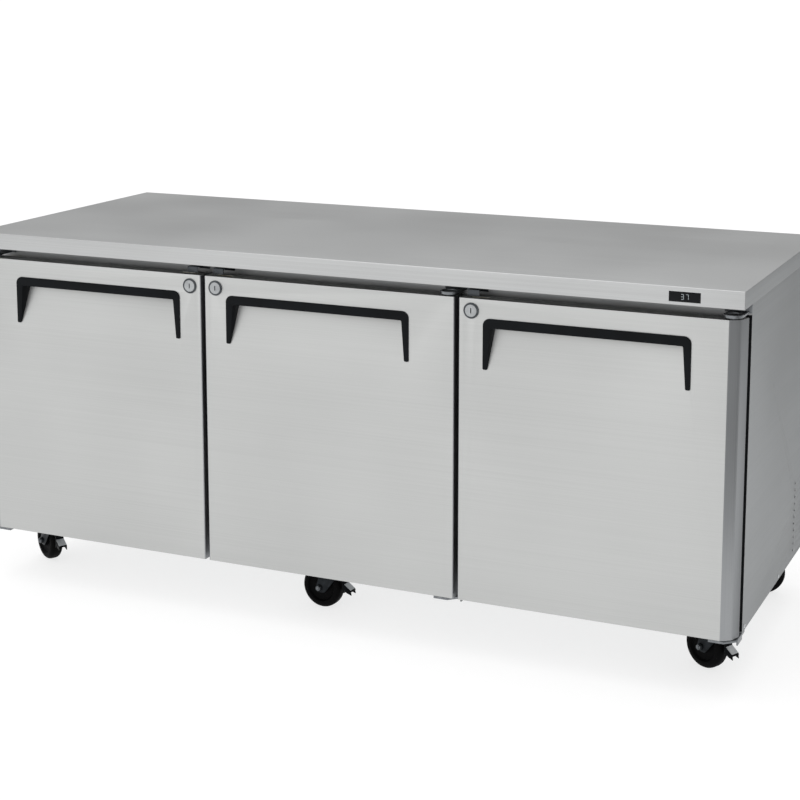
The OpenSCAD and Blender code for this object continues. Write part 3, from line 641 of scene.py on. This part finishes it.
def makeNut(look, boreRadius):
    # hexagonal nut standing on the XY plane, its outer corners rounded off, with a stud or a bore in it
    radius = look["nutFlats"] / math.sqrt(3)
    bpy.ops.mesh.primitive_cylinder_add(vertices=6, radius=radius * mm, depth=look["nutHeight"] * mm,
                                        location=(0, 0, look["nutHeight"] / 2 * mm))
    nut = bpy.context.object
    bpy.ops.object.transform_apply(location=True, rotation=True, scale=True)
    pickEdges(nut, lambda a, b: min(a.z, b.z) > (look["nutHeight"] - topBand) * mm)
    roundPicked(look["nutChamfer"], 2)
    # a bore is cut right through, a stud stands out a little above the nut
    length = 4 * look["nutHeight"] if boreRadius else look["studLength"] + look["nutHeight"]
    reach = boreRadius or look["studRadius"]
    bpy.ops.mesh.primitive_cylinder_add(vertices=32, radius=reach * mm, depth=length * mm,
                                        location=(0, 0, 0 if boreRadius else length / 2 * mm))
    core = bpy.context.object
    bpy.ops.object.transform_apply(location=True, rotation=True, scale=True)
    if not boreRadius:
        roundAll(core, look["studEdge"])
    change = nut.modifiers.new("change", "BOOLEAN")
    change.object = core
    change.operation = "DIFFERENCE" if boreRadius else "UNION"
    change.solver = "EXACT"
    only(nut)
    bpy.ops.object.modifier_apply(modifier="change")
    bpy.data.objects.remove(core)
    return nut


def buildAxleNuts():
    nut = makeNut(casterLook, 0)
    for caster in casterNames:
        roll = next(joint for joint in frame["joints"] if joint["name"] == f"{caster}_wheel_roll")
        along = Vector(roll["axis"]).normalized()
        middle = Vector(roll["pos_m"])
        turn = math.degrees(math.atan2(along.y, along.x))
        reach = casterLook["axleReach"] * mm
        placeCopies(nut, [(middle + along * reach, 90, turn + 90), (middle - along * reach, 90, turn - 90)],
                    camelName(caster) + "AxleNuts", bodyOf(f"{caster}_fork"), "bolt")
    bpy.data.objects.remove(nut)


for caster in casterNames:
    refine(f"{caster}_fork", "caster", casterLook["forkEdge"])
    refine(f"{caster}_wheel", "rubber", 0)
    if caster.startswith("front"):
        buildPedal(caster)
buildAxleNuts()
buildFanGuard()
buildGlandNut()
buildGapShadeStrips()
print("casters, guard, gland and tape done")

# Finned coils: copper tubes through aluminium fins. The tubes lie level in the middle of the coil's depth;
# what stands out at either side is tube end.
coilLook = {"tubeEnd": 11.0, "tubeRadius": 5.0, "slack": 0.4, "endTilt": 0.1, "level": 0.999}


def finishCoil(node):
    mesh = frame["nodes"][node].data
    low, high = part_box(node)
    middle = (low.y + high.y) / 2
    mesh.materials.clear()
    mesh.materials.append(materials["copper"])
    mesh.materials.append(materials["alloy"])
    end = coilLook["tubeEnd"] * mm
    reach = (coilLook["tubeRadius"] + coilLook["slack"]) * mm
    for face in mesh.polygons:
        tubeEnd = face.center.x < low.x + end or face.center.x > high.x - end
        curved = abs(face.normal.x) < coilLook["endTilt"] and abs(face.normal.z) < coilLook["level"]
        onTube = abs(face.center.y - middle) < reach and curved
        face.material_index = 0 if tubeEnd or onTube else 1


for node in ("condenser_coil", "evaporator_coil"):
    finishCoil(node)
for node in ["cabinet_foam"] + [f"{door}_door_foam" for door in doorNames]:
    frame["nodes"][node].data.materials.clear()
    frame["nodes"][node].data.materials.append(materials["foam"])
print("coils and foam done")


# Studio: pale floor, soft overhead and front light
studio = {
    "floorRadius": 60.0, "floorGlow": 0.75, "cloud": 0.8,
    "flagWidth": 0.9, "flagHeight": 1.4, "flagPlace": (1.56, -0.72, 0.7), "flagTurn": 61,
    # each lamp: name, place, aim, size, power
    "lamps": [("overhead", (0, -0.4, 4.2), (0, 0, 0), 4.0, 40),
              ("frontSoft", (-2.6, -5.2, 2.6), (0, 0, 0.5), 3.0, 12)],
}


def buildStudio():
    bpy.ops.mesh.primitive_circle_add(vertices=64, radius=studio["floorRadius"], fill_type="NGON")
    floor = bpy.context.object
    floor.name = "floor"
    settings = {"Roughness": 0.9, "Emission Strength": studio["floorGlow"]}
    material, tree, place, shader = startMaterial("paleFloor", settings)
    cloud = addNode(tree, "ShaderNodeTexNoise", {"Scale": studio["cloud"], "Detail": 2.0},
                    {"Vector": place}).outputs[0]
    shade = twoTone(tree, cloud, "#939393", "#979797")
    glow = twoTone(tree, cloud, "#FAFAFA", "#FFFFFF")
    connect(tree, shader, {"Base Color": shade, "Emission Color": glow})
    floor.data.materials.append(material)
    # a grey flag at the right, which only polished surfaces see
    bpy.ops.mesh.primitive_plane_add(size=1, location=studio["flagPlace"])
    flag = bpy.context.object
    flag.name = "flag"
    flag.scale = (studio["flagWidth"], studio["flagHeight"], 1)
    flag.rotation_euler = (math.radians(90), 0, math.radians(studio["flagTurn"]))
    settings = {"Base Color": linear("#A8A8A8"), "Roughness": 0.9}
    flag.data.materials.append(startMaterial("greyFlag", settings)[0])
    flag.visible_camera = flag.visible_diffuse = flag.visible_shadow = False
    for name, place, aim, size, power in studio["lamps"]:
        bpy.ops.object.light_add(type="AREA", location=place)
        lamp = bpy.context.object
        lamp.name = name
        lamp.data.size = size
        lamp.data.energy = power
        lamp.rotation_euler = (Vector(aim) - Vector(place)).to_track_quat("-Z", "Y").to_euler()


# Surrounding light: bright overhead, greyer towards the back and the right; the camera sees plain white.
# Each ramp: direction value from, to, then brightness from, to.
sky = {"height": (0.0, 0.6, 0.54, 1.02), "right": (0.1, 0.9, 1.0, 0.4), "front": (0.0, -0.9, 1.0, 1.4)}


def buildWorld():
    world = bpy.data.worlds.new("studioLight")
    scene.world = world
    world.use_nodes = True
    tree = world.node_tree
    tree.nodes.clear()
    direction = addNode(tree, "ShaderNodeTexCoord", {}).outputs["Generated"]
    parts = addNode(tree, "ShaderNodeSeparateXYZ", {}, {0: direction})
    height, right, front = [
        addNode(tree, "ShaderNodeMapRange", dict(enumerate(sky[key], 1)),
                {0: parts.outputs[axis]}).outputs[0]
        for key, axis in (("height", 2), ("right", 0), ("front", 1))]
    sideways = addNode(tree, "ShaderNodeMath", {"operation": "MULTIPLY"}, {0: right, 1: front}).outputs[0]
    level = addNode(tree, "ShaderNodeMath", {"operation": "MULTIPLY"}, {0: height, 1: sideways}).outputs[0]
    soft = addNode(tree, "ShaderNodeBackground", {}, {"Strength": level})
    white = addNode(tree, "ShaderNodeBackground", {"Strength": 1.0, "Color": (1, 1, 1, 1)})
    seen = addNode(tree, "ShaderNodeLightPath", {}).outputs["Is Camera Ray"]
    mixed = addNode(tree, "ShaderNodeMixShader", {}, {0: seen, 1: soft.outputs[0], 2: white.outputs[0]})
    soft.inputs["Color"].default_value = (1, 1, 1, 1)
    addNode(tree, "ShaderNodeOutputWorld", {}, {"Surface": mixed.outputs[0]})


view = {"place": (1.689, -3.750, 1.516), "aim": (0.0784, -0.1456, 0.8714), "lens": 79.6, "shift": -0.2,
        "sensor": 36}


def buildCamera():
    bpy.ops.object.camera_add(location=view["place"])
    camera = bpy.context.object
    camera.name = "camera"
    camera.rotation_euler = (Vector(view["aim"]) - Vector(view["place"])).to_track_quat("-Z", "Y").to_euler()
    camera.data.sensor_width = view["sensor"]
    camera.data.lens = view["lens"]
    camera.data.shift_y = view["shift"]
    scene.camera = camera


buildStudio()
buildWorld()
buildCamera()
scene.view_settings.view_transform = "Standard"
print("studio done")
